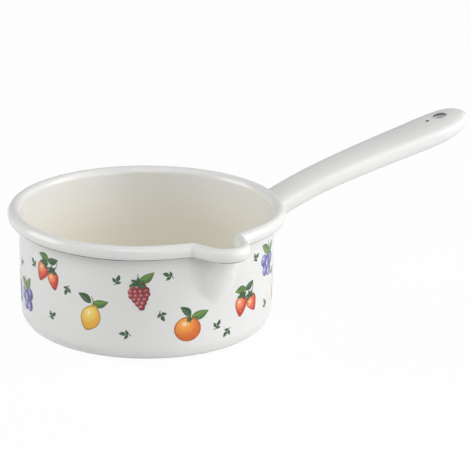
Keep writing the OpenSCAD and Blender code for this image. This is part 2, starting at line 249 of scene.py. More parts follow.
def makePrintPaint():  # fired colours of the printed fruit, under the same gloss
    finish, maker, shader, where = glazedFinish("printPaint")
    look = printPaint
    local = maker.read("local", "Vector")
    across, up, kind = maker.parts(local)
    blade, seeded = kind.isAbout(1), kind.isAbout(2)
    mottle = maker.swing(where, look["mottleScale"])
    side = abs(across)
    middle = (across * across + up * up).root()
    offX, offY = across - look["glintPlace"][0], up - look["glintPlace"][1]
    fromGlint = (offX * offX + offY * offY).root()
    veins = maker.rise((up * look["veinsUp"] + side * look["veinsAcross"]).sine(), *look["vein"])
    bladeTone = look["bladeLight"] + look["foldShare"] * maker.rise(across, *look["fold"])
    bladeTone = bladeTone + mottle * look["bladeMottle"] - veins * (1 - side) * look["veinShare"]
    roundTone = maker.rise(fromGlint + mottle * look["roundMottle"], *look["round"])
    light, deep = maker.read("lightTone", "Color"), maker.read("deepTone", "Color")
    colour = maker.blend(roundTone.towards(bladeTone, blade), light, deep)
    spots = maker.node("ShaderNodeTexVoronoi", {}, {"Vector": local, "Scale": look["seedScale"]},
                       "Distance")
    seeds = (1 - maker.rise(spots, *look["seedFade"])) * seeded
    colour = maker.blend(seeds, colour, look["seed"])
    bladeRim = maker.rise(side + mottle * look["bladeRimMottle"], *look["bladeRim"])
    roundRim = maker.rise(middle + mottle * look["roundRimMottle"], *look["roundRim"])
    outline = maker.blend(look["outlineShare"], deep, look["outline"])
    colour = maker.blend(roundRim.towards(bladeRim, blade) * look["edgeShare"], colour, outline)
    glint = (1 - maker.rise(fromGlint, *look["glintFade"])) * (1 - blade)
    colour = maker.blend(glint * look["glintShare"], colour, look["glint"])
    maker.put(shader.inputs["Base Color"], colour)
    return finish


whiteFinish = makeWhite()
creamFinish = makeCream()
printFinish = makePrintPaint()
print("enamels made")


def smoothOver(mesh):
    mesh.shade_smooth()
    mesh.set_sharp_from_angle(angle=sharpAngle)


def newPiece(name, points, faces, finish):
    mesh = bpy.data.meshes.new(name)
    mesh.from_pydata([tuple(p) for p in np.asarray(points) * mm], [], faces)
    mesh.validate()
    work = bmesh.new()
    work.from_mesh(mesh)
    bmesh.ops.recalc_face_normals(work, faces=work.faces)
    work.to_mesh(mesh)
    work.free()
    smoothOver(mesh)
    piece = bpy.data.objects.new(name, mesh)
    bpy.context.scene.collection.objects.link(piece)
    mesh.materials.append(finish)
    return piece


def addAttribute(piece, name, values, kind="FLOAT"):
    made = piece.data.attributes.new(name, kind, "POINT")
    field = {"FLOAT": "value", "FLOAT_VECTOR": "vector", "FLOAT_COLOR": "color"}
    made.data.foreach_set(field[kind], np.asarray(values, dtype=np.float32).ravel())


def ringFaces(rows, columns, loop=False):  # quads between closed rings of points
    faces = []
    for i in range(rows if loop else rows - 1):
        for j in range(columns):
            k = (j + 1) % columns
            here, there = i * columns, (i + 1) % rows * columns
            faces.append((here + j, here + k, there + k, there + j))
    return faces


def tube(name, rings, closed=False, finish=whiteFinish):  # closed skin over rings of points
    count = len(rings[0])
    faces = ringFaces(len(rings), count, closed)
    if not closed:
        faces.append(tuple(range(count)))
        faces.append(tuple(range((len(rings) - 1) * count, len(rings) * count)))
    return newPiece(name, np.concatenate(rings), faces, finish)


# Lengths are in millimetres and turns in degrees, here and in the pieces below
pan = {"insideR": 80, "height": 77.6, "wall": 1.2, "lining": 0.3, "lean": 1.3, "cornerR": 12,
       "rollWidth": 8, "rollHeight": 9.4, "rollTurn": 292, "liningTurn": 33, "lipTurn": -1.5,
       "lipReach": 17.4, "lipTipR": 8.2, "lipFlareOver": 1.3, "lipSideAngle": 21.5,
       "lipDrawIn": 2.9, "lipDrawEnd": 45, "lipFootHeight": 33, "lipBlend": 0.25, "lipEndOver": 1.3,
       "lipTipSoft": 8, "lipFlareSoft": 8, "lipLeastShare": 0.02,
       "mouthSteps": 66, "besideSteps": 10, "sideWeight": 0.3, "flareWeight": 1.25,
       "roundStations": 190, "cornerRows": 16, "wallRows": 36, "overCorner": 2, "underRoll": 0.4,
       "rollBackRows": 30, "rollFaceRows": 60, "rollBackFrom": 178, "skinInset": 0.012,
       "coveredRows": 10, "coveredFrom": 3, "coatBackRows": 14, "coatBackFrom": 179,
       "coatFaceRows": 20, "coatFaceFrom": 0.5, "coatProud": 0.004}
leanSlope = math.tan(math.radians(pan["lean"]))
rollX = pan["insideR"] + pan["rollWidth"] / 2
rollZ = pan["height"] - pan["rollHeight"] / 2
lipSide = math.radians(pan["lipSideAngle"])


def wallR(z):
    return pan["insideR"] - (rollZ - z) * leanSlope


def under(x, r):  # height of a circle over x
    return np.sqrt(np.maximum(r * r - x * x, 0))


def reachAt(z):  # how far the lip stands out at a height
    t = min(1, max(0, (z - pan["lipFootHeight"]) / (rollZ - pan["lipFootHeight"])))
    soft = pan["lipBlend"]
    grown = t * t / (2 * soft) if t < soft else t - soft / 2
    return pan["lipReach"] * grown / (1 - soft / 2)


def drawnIn(reach):  # how far the wall is drawn in beside the lip
    return pan["lipDrawIn"] * (reach / pan["lipReach"]) ** 2


def lipRadii(reach):  # of the tip and of the flare beside it, softer towards the foot
    softer = 1 - reach / pan["lipReach"]
    flare = pan["rollWidth"] + pan["lipFlareOver"] + pan["lipFlareSoft"] * softer
    return pan["lipTipR"] + pan["lipTipSoft"] * softer, flare


def lipShape(reach):  # radius beside it, the tip's middle, half its angle, how far the arcs turn
    beside = pan["insideR"] - drawnIn(reach)
    tipR, flareR = lipRadii(reach)
    flareCentre = beside + flareR
    tipY = pan["insideR"] + reach - tipR
    gap = flareR + tipR
    near = (flareCentre ** 2 + tipY ** 2 - gap ** 2) / (2 * flareCentre * tipY)
    half = math.acos(min(1, near))
    turn = math.atan2(flareCentre * math.sin(half), flareCentre * math.cos(half) - tipY)
    if turn > math.pi / 2 - lipSide:
        sideD = tipR + tipY * math.sin(lipSide)
        half = math.asin((sideD + flareR) / flareCentre) - lipSide
        turn = math.pi / 2 - lipSide
    return beside, tipY, half, turn


lipEnd = lipShape(pan["lipReach"])[2] * pan["lipEndOver"]


def planY(x, ref, reach):  # the wall's inside where the lip stands out so far
    x = np.abs(x)
    tipR, flareR = lipRadii(reach)
    beside, tipY, half, turn = lipShape(reach)
    flareX, flareY = (beside + flareR) * math.sin(half), (beside + flareR) * math.cos(half)
    sideD = tipR + tipY * math.sin(lipSide)
    tip = tipY + under(x, tipR)
    side = (sideD - x * math.cos(lipSide)) / math.sin(lipSide)
    flare = flareY - under(flareX - x, flareR)
    straight = x < flareX - flareR * math.sin(turn) if turn == math.pi / 2 - lipSide else x < 0
    places = [x < tipR * math.sin(turn), straight, x < beside * math.sin(half)]
    plan = np.select(places, [tip, side, flare], under(x, beside))
    return under(x, ref - drawnIn(reach)) + plan - under(x, beside)


def lipPlaces(reach):  # across half of the lip, from its middle to the wall beside it
    reach = max(reach, pan["lipReach"] * pan["lipLeastShare"])
    tipR, flareR = lipRadii(reach)
    beside, tipY, half, turn = lipShape(reach)
    flareX = (beside + flareR) * math.sin(half)
    tipEnd, flareFrom = tipR * math.sin(turn), flareX - flareR * math.sin(turn)
    sidePart = max(0, flareFrom - tipEnd) / tipR / math.sin(lipSide) * pan["sideWeight"]
    flarePart = (turn - half) * pan["flareWeight"]
    m = np.linspace(0, turn + sidePart + flarePart, pan["mouthSteps"])
    fromTip = m - turn
    side = tipEnd + (flareFrom - tipEnd) * fromTip / max(sidePart, tiny)
    flare = flareX - flareR * np.sin(turn - (fromTip - sidePart) / pan["flareWeight"])
    mouth = np.select([m < turn, fromTip < sidePart], [tipR * np.sin(m), side], flare)
    after = beside * np.sin(np.linspace(half, lipEnd, pan["besideSteps"])[1:])
    return np.concatenate([mouth, after])


def drawnShare(a):  # 1 beside the lip, falling to 0 round the wall
    last = math.radians(pan["lipDrawEnd"])
    t = np.clip((last - np.abs(a)) / (last - lipEnd), 0, 1)
    return t * t * (3 - 2 * t)


def panRing(radius, z, reach, ref):  # one ring of points for a point of the profile
    x = lipPlaces(reach)
    x = np.concatenate([-x[:0:-1], x])[:-1]
    a = np.linspace(lipEnd, 2 * math.pi - lipEnd, pan["roundStations"])
    r = radius - drawnIn(reach) * drawnShare(np.minimum(a, 2 * math.pi - a))
    rest = np.stack([r * np.sin(a), -r * np.cos(a)], 1)
    if reach > 0:
        step = 0.01
        slope = (planY(x + step, ref, reach) - planY(x - step, ref, reach)) / (2 * step)
        size = np.sqrt(1 + slope * slope)
        off = radius - ref
        lip = np.stack([x - slope / size * off, -planY(x, ref, reach) - off / size], 1)
    else:
        lip = radius / pan["insideR"] * np.stack([x, -under(x, pan["insideR"])], 1)
    flat = np.concatenate([lip[1:], rest])
    turn = math.radians(pan["lipTurn"])
    x = flat[:, 0] * math.cos(turn) - flat[:, 1] * math.sin(turn)
    y = flat[:, 0] * math.sin(turn) + flat[:, 1] * math.cos(turn)
    return np.stack([x, y, np.full_like(x, z)], 1)


cornerInside = pan["cornerR"] - pan["wall"]
cornerTop = pan["cornerR"] - cornerInside * math.sin(math.radians(pan["lean"]))
cornerX = wallR(cornerTop) - cornerInside * math.cos(math.radians(pan["lean"]))
noRoll = 999  # stands for the roll's angle where there is no roll


def wallRows(inset):  # profile from the base round the corner and up the wall
    rows = []
    for i in range(pan["cornerRows"] + 1):
        a = math.radians(-90 + (90 - pan["lean"]) * i / pan["cornerRows"])
        r = pan["cornerR"] - inset
        rows.append((cornerX + r * math.cos(a), pan["cornerR"] + r * math.sin(a), 0,
                     pan["insideR"], noRoll))
    for z in np.linspace(pan["cornerR"] + pan["overCorner"], rollZ - pan["underRoll"],
                         pan["wallRows"]):
        rows.append((wallR(z) + pan["wall"] - inset, z, reachAt(z), wallR(z), noRoll))
    return rows


def rollRow(degrees, inset):
    a = math.radians(degrees)
    return (rollX + (pan["rollWidth"] / 2 - inset) * math.cos(a),
            rollZ + (pan["rollHeight"] / 2 - inset) * math.sin(a),
            pan["lipReach"], pan["insideR"], degrees)


def rollRows(inset, start, end, count):
    return [rollRow(d, inset) for d in np.linspace(start, end, count)]


def liningInset(degrees):  # the lining thins to nothing on the roll
    return pan["lining"] * max(0, 1 - (180 - degrees) / pan["liningTurn"])


def turned(name, rows, finish):  # closed skin from a profile
    rings = [panRing(*row[:4]) for row in rows]
    piece = tube(name, rings, False, finish)
    return piece, np.repeat([row[4] for row in rows], len(rings[0]))


rollEnd = 180 - pan["rollTurn"]
liningEnd = 180 - pan["liningTurn"]
steel = pan["wall"]
coat = pan["lining"]
covered = np.linspace(liningEnd + pan["coveredFrom"], 180, pan["coveredRows"])
bodyRows = (wallRows(0) + rollRows(steel, pan["rollBackFrom"], rollEnd, pan["rollBackRows"])
            + rollRows(pan["skinInset"], rollEnd, liningEnd, pan["rollFaceRows"])
            + [rollRow(d, liningInset(d)) for d in covered] + wallRows(steel - coat)[::-1])
panBody, angles = turned("pan_body", bodyRows, whiteFinish)
addAttribute(panBody, "rollAngle", np.where(angles == noRoll, 0, angles))
coatBack = np.linspace(pan["coatBackFrom"], liningEnd, pan["coatBackRows"])
coatFaceStart = liningEnd + pan["coatFaceFrom"]
liningRows = (wallRows(steel - coat) + [rollRow(d, liningInset(d)) for d in coatBack]
              + rollRows(-pan["coatProud"], coatFaceStart, 180, pan["coatFaceRows"])
              + wallRows(steel)[::-1])
creamLining, angles = turned("cream_lining", liningRows, creamFinish)
addAttribute(creamLining, "liningEdge",
             np.where(angles == noRoll, 0, np.clip((180 - angles) / pan["liningTurn"], 0, 1)))
print("pan turned")

handle = {"reach": 258, "rootHeight": 54, "rise": 42.5, "width": 34, "crown": 7.2, "belly": 11.6,
          "shell": 1.2, "endLength": 33, "seam": 1.2, "sectionPower": 2.3,
          "endWidthPower": 2.4, "endHeightPower": 4.2, "stations": 120, "endStations": 40,
          "arc": 48, "clearShare": 0.07, "lastShare": 0.99999, "rootInWall": 0.3,
          "spineShares": [(0, 0), (0.165, 0.418), (0.615, 0.675), (1, 1)],
          "widthShares": [(0, 0.72), (0.2, 0.73), (0.4, 0.78), (0.65, 0.89), (0.88, 1), (1, 1.15)],
          "crownShares": [(0, 0.74), (0.2, 0.79), (0.4, 0.92), (0.65, 0.92), (0.88, 0.88), (1, 1.15)],
          "bellyShares": [(0, 1), (0.2, 0.86), (0.4, 0.76), (0.65, 0.81), (0.88, 0.82), (1, 0.35)]}
rootX = wallR(handle["rootHeight"]) + pan["wall"]
handleLength = handle["reach"] - rootX
endShare = handle["endLength"] / handleLength


def along(table, s):  # smooth through a table's rows
    places = [row[0] for row in table]
    values = [row[1] for row in table]
    slopes = []
    for i in range(len(table)):
        a, b = max(0, i - 1), min(len(table) - 1, i + 1)
        slopes.append((values[b] - values[a]) / (places[b] - places[a]))
    i = 0
    while i < len(table) - 2 and s >= places[i + 1]:
        i += 1
    w = places[i + 1] - places[i]
    q = (s - places[i]) / w
    return (values[i] * (1 + 2 * q) * (1 - q) ** 2 + slopes[i] * w * q * (1 - q) ** 2
            + values[i + 1] * q * q * (3 - 2 * q) + slopes[i + 1] * w * q * q * (q - 1))


def spineCorner(i):
    across, up = handle["spineShares"][i]
    return np.array([rootX + handleLength * across, handle["rootHeight"] + handle["rise"] * up])


def spine(s):
    q = 1 - s
    return (q ** 3 * spineCorner(0) + 3 * q * q * s * spineCorner(1)
            + 3 * q * s * s * spineCorner(2) + s ** 3 * spineCorner(3))


def spineAlong(s):
    q = 1 - s
    d = (q * q * (spineCorner(1) - spineCorner(0)) + 2 * q * s * (spineCorner(2) - spineCorner(1))
         + s * s * (spineCorner(3) - spineCorner(2)))
    return d / np.linalg.norm(d)


def endAt(s):
    return max(0, (s - 1 + endShare) / endShare)


def halfWidth(s, inset=0):
    wide = handle["width"] / 2 * along(handle["widthShares"], s) - inset
    return wide * math.sqrt(max(0, 1 - endAt(s) ** handle["endWidthPower"]))


def shellHeight(s, side, inset=0):  # of a shell over the seam's edge
    full = handle["crown"] * along(handle["crownShares"], s) if side > 0 else \
        handle["belly"] * along(handle["bellyShares"], s)
    tall = full - handle["seam"] / 2 - inset
    return tall * math.sqrt(max(0, 1 - endAt(s) ** handle["endHeightPower"]))


def bent(v):
    return math.copysign(abs(v) ** (2 / handle["sectionPower"]), v)


def sectionPoint(s, y, h, onWall=False):  # y across and h above the seam curve
    c, d = spine(s), spineAlong(s)
    x, z = c[0] - h * d[1], c[1] + h * d[0]
    if onWall:
        rough = z + (rootX - x) * d[1] / d[0]
        wallX = math.sqrt((wallR(rough) + pan["wall"] - handle["rootInWall"]) ** 2 - y * y)
        x, z = wallX, z + (wallX - x) * d[1] / d[0]
    return (x, y, z)


def arcPoint(s, angle, side, inset=0, onWall=False):
    h = handle["seam"] / 2 + shellHeight(s, side, inset) * bent(math.sin(angle))
    return sectionPoint(s, halfWidth(s, inset) * bent(math.cos(angle)), side * h, onWall)


def handleShares():
    main = np.linspace(handle["clearShare"], 1 - endShare, handle["stations"])
    t = np.sin(np.radians(np.linspace(0, 90, handle["endStations"] + 1)[1:]))
    return [0] + list(main) + list(1 - endShare * (1 - handle["lastShare"] * t))


def makeShell(name, side):  # half of the hollow handle
    angles = np.linspace(0, math.pi, handle["arc"] + 1)
    rings = []
    for i, s in enumerate(handleShares()):
        inner = s * (1 - handle["shell"] / handleLength)
        ring = [arcPoint(s, a, side, 0, i == 0) for a in angles]
        ring += [arcPoint(inner, a, side, handle["shell"], i == 0) for a in angles[::-1]]
        rings.append(ring)
    return tube(name, rings)


def makeSeamWeld():  # along both sides and round the tip, flush with the shells
    shares = list(enumerate(handleShares()))
    order = [(i, s, 1) for i, s in shares] + [(i, s, -1) for i, s in shares[::-1]]
    rings = []
    for i, s, hand in order:
        inner = s * (1 - handle["shell"] / handleLength)
        ring = []
        for share, inset, h in ((s, 0, -1), (s, 0, 1), (inner, handle["shell"], 1),
                                (inner, handle["shell"], -1)):
            across = hand * halfWidth(share, inset)
            ring.append(sectionPoint(share, across, h * handle["seam"] / 2, i == 0))
        rings.append(ring)
    return tube("handle_seam_weld", rings)


upperShell = makeShell("handle_upper_shell", 1)
lowerShell = makeShell("handle_lower_shell", -1)
seamWeld = makeSeamWeld()
print("handle lofted")

holes = {"hangR": 4.5, "tubeWall": 1, "hangFromTip": 20, "ventR": 1.25, "gap": 10.4,
         "around": 96, "stepShare": 0.02, "halvings": 30, "searchBack": 20, "searchEnd": 0.1,
         "mostAcross": 0.999, "tubeInShell": 0.05, "hangCut": 40, "ventCut": 6,
         "endSteps": 10, "endRound": 0.7, "endSunk": 0.5, "bareAt": 150, "bareSpread": 40,
         "bareDepths": ((0.5, 1), (0.9, 1), (1.3, 0.8), (1.7, 0)), "ventBeadR": 0.35,
         "beadSteps": 16, "beadSunk": 0.78, "beadCut": 0.8}


def crest(s):
    return np.array(arcPoint(s, math.pi / 2, 1))[[0, 2]]


def shareAt(x):
    low, high = 0, 1
    for _ in range(holes["halvings"]):
        mid = (low + high) / 2
        low, high = (mid, high) if spine(mid)[0] < x else (low, mid)
    return low


def holeFrame(fromTip):  # the hole's middle on the crest, the way along and the way out
    s = shareAt(handle["reach"] - fromTip)
    run = crest(s + holes["stepShare"]) - crest(s - holes["stepShare"])
    run = run / np.linalg.norm(run)
    middle = crest(s)
    return Vector((middle[0], 0, middle[1])), Vector((run[0], 0, run[1])), Vector((-run[1], 0, run[0]))


def surfaceHeight(place, u, v, side):  # of the handle's outside, u along and v across a hole
    middle, run, way = place
    low, high = shareAt(middle.x - holes["searchBack"]), 1 - endShare * holes["searchEnd"]
    for _ in range(holes["halvings"]):
        s = (low + high) / 2
        lift = 1 - min(holes["mostAcross"], abs(v) / halfWidth(s)) ** handle["sectionPower"]
        h = handle["seam"] / 2 + shellHeight(s, side) * lift ** (1 / handle["sectionPower"])
        point = Vector(sectionPoint(s, 0, side * h)) - middle
        low, high = (s, high) if point.dot(run) < u else (low, s)
    return point.dot(way)


def cutHole(piece, place, r, depth):
    middle, run, way = place
    bpy.ops.mesh.primitive_cylinder_add(vertices=holes["around"], radius=r * mm, depth=depth * mm)
    cutter = bpy.context.object
    turn = way.to_track_quat("Z", "X").to_matrix().to_4x4()
    cutter.data.transform(Matrix.Translation(middle * mm) @ turn)
    cut = piece.modifiers.new("hole", "BOOLEAN")
    cut.operation = "DIFFERENCE"
    cut.solver = "EXACT"
    cut.object = cutter
    shown = piece.evaluated_get(bpy.context.evaluated_depsgraph_get())
    mesh = bpy.data.meshes.new_from_object(shown)
    piece.modifiers.remove(cut)
    piece.data = mesh
    bpy.data.objects.remove(cutter)
    smoothOver(mesh)


def sweptRound(name, place, loop):  # each row: radius, height over a side's surface, side, bare
    middle, run, way = place
    side = way.cross(run)
    rings, bare = [], []
    for i in range(holes["around"]):
        t = 2 * math.pi * i / holes["around"]
        ring = []
        for radius, height, hand, bareness in loop:
            u, v = radius * math.cos(t), radius * math.sin(t)
            level = surfaceHeight(place, u, v, hand) + height
            ring.append(tuple(middle + run * u + side * v + way * level))
            bare.append(bareness)
        rings.append(ring)
    piece = tube(name, rings, True)
    addAttribute(piece, "bareEdge", bare)
    return piece


def makeEyelet(place):  # tube through both shells, with rounded ends under the enamel
    half = holes["tubeWall"] / 2
    middle = holes["hangR"] + half
    top, bottom = [], []
    for a in np.linspace(0, math.pi, holes["endSteps"] + 1):
        over = half * (math.sin(a) * holes["endRound"] - holes["endSunk"])
        bareness = max(0, 1 - abs(math.degrees(a) - holes["bareAt"]) / holes["bareSpread"])
        top.append((middle + half * math.cos(a), over, 1, bareness))
        bottom.append((middle + half * math.cos(a), -over, -1, 0))
    bore = [(holes["hangR"], -depth, 1, bareness) for depth, bareness in holes["bareDepths"]]
    return sweptRound("hanging_eyelet", place, top + bore + bottom[::-1])


def makeVentBead(place):  # the enamel's rounded edge in the vent hole
    loop = []
    bead = holes["ventBeadR"]
    for k in range(holes["beadSteps"]):
        a = 2 * math.pi * k / holes["beadSteps"]
        over = bead * (math.sin(a) - holes["beadSunk"])
        loop.append((holes["ventR"] + bead - bead * math.cos(a), over, 1, max(0, math.cos(a))))
    return sweptRound("vent_hole_edge", place, loop)


hangPlace = holeFrame(holes["hangFromTip"])
ventPlace = holeFrame(holes["hangFromTip"] + holes["gap"])
hangCutR = holes["hangR"] + holes["tubeWall"] - holes["tubeInShell"]
ventCutR = holes["ventR"] + holes["ventBeadR"] * holes["beadCut"]
cutHole(upperShell, hangPlace, hangCutR, holes["hangCut"])
cutHole(lowerShell, hangPlace, hangCutR, holes["hangCut"])
cutHole(upperShell, ventPlace, ventCutR, holes["ventCut"])
eyelet = makeEyelet(hangPlace)
ventBead = makeVentBead(ventPlace)
print("holes cut")

weld = {"leg": 2.2, "hollowShare": 0.3, "loop": 10, "count": 160, "rootInset": 0.3,
        "uneven": 0.06, "waves": (1.7, 0.61), "inWall": 0.04, "offHandle": 0.02, "filled": 0.5}


def makeRootWeld():  # fillet round the handle's root, slightly uneven
    half = weld["count"] // 2
    turns = [(math.pi * k / half, 1) for k in range(half)]
    turns += [(math.pi * (1 - k / half), -1) for k in range(half)]
    near = [np.array(arcPoint(0, a, side, 0, True)) for a, side in turns]
    far = [np.array(arcPoint(handle["clearShare"], a, side)) for a, side in turns]
    rings = []
    count = len(turns)
    for q in range(count):
        up = (far[q] - near[q]) / np.linalg.norm(far[q] - near[q])
        t = near[(q + 1) % count] - near[q - 1]
        n = np.array([0, t[2], -t[1]]) / math.hypot(t[1], t[2])
        if n[1] * near[q][1] + n[2] * (near[q][2] - handle["rootHeight"]) < 0:
            n = -n
        wave = math.sin(q * weld["waves"][0]) * math.sin(q * weld["waves"][1])
        leg = weld["leg"] * (1 + weld["uneven"] * wave)
        foot = near[q] + n * leg
        wallX = math.sqrt((wallR(foot[2]) + pan["wall"] - weld["inWall"]) ** 2 - foot[1] ** 2)
        wallToe = np.array([wallX, foot[1], foot[2]])
        handleToe = near[q] + up * (leg + weld["rootInset"]) + n * weld["offHandle"]
        middle = near[q] + (wallToe + handleToe - 2 * near[q]) * weld["hollowShare"]
        ring = []
        for k in range(weld["loop"] + 1):
            w = k / weld["loop"]
            ring.append((1 - w) ** 2 * wallToe + 2 * w * (1 - w) * middle + w * w * handleToe)
        ring.append(near[q] + up * leg * weld["filled"] - n * weld["rootInset"])
        ring.append(near[q] - n * weld["rootInset"])
        rings.append(ring)
    return tube("handle_root_weld", rings, True)


rootWeld = makeRootWeld()
print("welds laid")

# Printed fruit: each shape is a thin plate one unit long, drawn by a rule
prints = {"size": 1.27, "thickness": 0.05, "standOff": 0.03, "layerStep": 0.012, "rings": 6,
          "around": 32, "leafHalf": 0.25, "leafForward": 0.8, "leafFull": 0.9, "leafBend": 0.07,
          "stemHalf": 0.035, "stemFoot": 1.2, "stemTaper": 0.5, "stemBend": 0.12,
          "lemonHalf": (0.36, 0.42), "noseLong": 0.08, "nosePower": 9,
          "strawberryHalf": (0.40, 0.46), "strawberryTaper": 0.30, "pointLong": 0.10,
          "pointPower": 4}
tones = {"leaf": ((0.180, 0.330, 0.060), (0.045, 0.135, 0.030)),
         "darkLeaf": ((0.075, 0.175, 0.070), (0.022, 0.070, 0.030)),
         "stem": ((0.150, 0.170, 0.050), (0.060, 0.075, 0.025)),
         "blueberry": ((0.340, 0.330, 0.720), (0.070, 0.060, 0.270)),
         "berryCrown": ((0.085, 0.075, 0.230), (0.030, 0.025, 0.110)),
         "strawberry": ((0.930, 0.300, 0.110), (0.560, 0.035, 0.022)),
         "lemon": ((0.960, 0.730, 0.160), (0.840, 0.430, 0.045)),
         "raspberry": ((0.560, 0.110, 0.120), (0.190, 0.016, 0.028)),
         "mandarin": ((0.960, 0.400, 0.060), (0.700, 0.140, 0.016))}


def bladePlace(halfWide, bend):
    def place(a, b):
        up = (b + 1) / 2
        across = a / math.sqrt(1 - b * b) if abs(b) < 1 - tiny else 0
        return across * halfWide(up) + bend * math.sin(math.pi * up), up, across, up, 1
    return place


def leafHalf(up):
    fullest = max(0, math.sin(math.pi * up ** prints["leafForward"]))
    return prints["leafHalf"] * fullest ** prints["leafFull"]


def stemHalf(up):
    return prints["stemHalf"] * (prints["stemFoot"] - prints["stemTaper"] * up)


def roundPlace(a, b):
    return a / 2, b / 2, a, b, 0


def lemonPlace(a, b):
    halfWide, halfTall = prints["lemonHalf"]
    nose = prints["noseLong"] * b ** prints["nosePower"]
    return halfWide * a, halfTall * b + nose, a, b, 0


def strawberryPlace(a, b):
    halfWide, halfTall = prints["strawberryHalf"]
    point = prints["pointLong"] * min(0, b) ** prints["pointPower"]
    return halfWide * a * (1 + prints["strawberryTaper"] * b), halfTall * b - point, a, b, 2


shapes = {"leaf": bladePlace(leafHalf, prints["leafBend"]),
          "stem": bladePlace(stemHalf, prints["stemBend"]), "round": roundPlace,
          "lemon": lemonPlace, "strawberry": strawberryPlace}


def makePlate(name, place):
    points, local = [], []
    rings, around = prints["rings"], prints["around"]
    grid = [(0, 0)]
    for k in range(1, rings + 1):
        for j in range(around):
            t = 2 * math.pi * (j + 0.5) / around
            grid.append((k / rings * math.cos(t), k / rings * math.sin(t)))
    for a, b in grid + grid[-around:] + grid[:1]:
        x, y, u, v, kind = place(a, b)
        points.append((x, y, 0))
        local.append((u, v, kind))
    last = 1 + rings * around
    for k in range(len(grid), len(points)):
        points[k] = (*points[k][:2], -prints["thickness"] * mm)
    faces = []
    for j in range(around):
        n = (j + 1) % around
        faces.append((0, 1 + j, 1 + n))
        for k in range(rings):
            here, there = 1 + k * around, 1 + (k + 1) * around
            if k == rings - 1:
                here, there = last - around, last
            faces.append((here + j, there + j, there + n, here + n))
        faces.append((last + n, last + j, last + around))
    mesh = bpy.data.meshes.new(name)
    mesh.from_pydata(points, [], faces)
    plate = bpy.data.objects.new(name, mesh)
    addAttribute(plate, "local", local, "FLOAT_VECTOR")
    return plate


def mark(shape, tone, x, y, turn, long, wide=1, layer=0):
    return {"shape": shape, "tone": tone, "x": x, "y": y, "turn": turn, "long": long,
            "wide": wide, "layer": layer}


def blueberries():
    marks = [mark("leaf", "leaf", 0.5, 3, 62, 9.5), mark("leaf", "leaf", -0.5, 3, -48, 9),
             mark("stem", "stem", 0, 3, 8, 6.5, 1, 1)]
    spots = [(-4.6, -0.4), (4.4, 0.2), (-2.2, -5.2), (3.0, -5.4), (0.1, -0.6)]
    for k, (x, y) in enumerate(spots):
        marks.append(mark("round", "blueberry", x, y, 25 * k, 6.4, 1, 2 + k))
        marks.append(mark("round", "berryCrown", x + 0.9, y - 0.9, 40, 1.9, 0.7, 3 + k))
    return marks


def strawberries():
    marks = [mark("leaf", "leaf", 0.6, 6.2, 78, 8.5), mark("leaf", "darkLeaf", -0.4, 6.4, -70, 7.5)]
    topShare = 0.42  # from a berry's middle to its top
    for x, y, turn, long in ((-4.3, -0.4, -16, 10.5), (4.2, -2.2, 20, 9.5)):
        lift = math.radians(turn)
        topX, topY = x - topShare * long * math.sin(lift), y + topShare * long * math.cos(lift)
        marks.append(mark("stem", "stem", topX, topY, turn * -1.4, 7.2 - topY * 0.25, 1, 1))
        marks.append(mark("strawberry", "strawberry", x, y, turn, long, 1, 2))
        for fan in (-100, -52, -5, 45, 96):
            marks.append(mark("leaf", "darkLeaf", topX, topY, turn + fan, 3.6, 1.1, 3))
    return marks


def lemon():
    return [mark("leaf", "leaf", 1.2, 5.6, -82, 8.6), mark("leaf", "darkLeaf", 0.6, 6.0, 56, 8.2),
            mark("stem", "stem", 1.2, 4.2, 6, 5.2, 1.3, 1),
            mark("lemon", "lemon", -0.4, -1.6, -24, 14.5, 1, 2)]


def raspberry():
    marks = [mark("leaf", "leaf", 1.0, 6.0, -66, 8.8), mark("stem", "stem", 0, 5.4, -10, 5.0, 1, 1)]
    layer = 2
    beadSize, apart, rowDrop, topRow = 3.2, 2.5, 2.1, 3.6
    for row, count in enumerate((3, 4, 4, 3, 2, 1)):
        for k in range(count):
            x, y = (k - (count - 1) / 2) * apart, topRow - rowDrop * row
            marks.append(mark("round", "raspberry", x, y, 37 * k, beadSize, 1, layer))
            layer += 1
    for fan in (-108, -60, -12, 38, 88):
        marks.append(mark("leaf", "darkLeaf", 0, 4.6, fan, 4.2, 1, layer))
    return marks


def mandarin():
    marks = [mark("leaf", "leaf", 0.6, 4.6, -64, 9.4), mark("leaf", "darkLeaf", 0.2, 4.8, 58, 7.6),
             mark("round", "mandarin", 0, -1.8, 0, 12.8, 1.08, 1)]
    for fan in range(0, 360, 72):
        marks.append(mark("leaf", "darkLeaf", -0.2, 3.2, fan, 1.9, 1.2, 2))
    return marks


def sprig():
    return [mark("stem", "darkLeaf", 0, -2.6, 4, 3.2, 2.2),
            mark("leaf", "darkLeaf", 0.1, -0.1, 6, 3.6, 1.1, 1),
            mark("leaf", "darkLeaf", 0, -0.9, -58, 2.9, 1.1, 1),
            mark("leaf", "darkLeaf", 0, -1.2, 62, 2.9, 1.1, 1)]


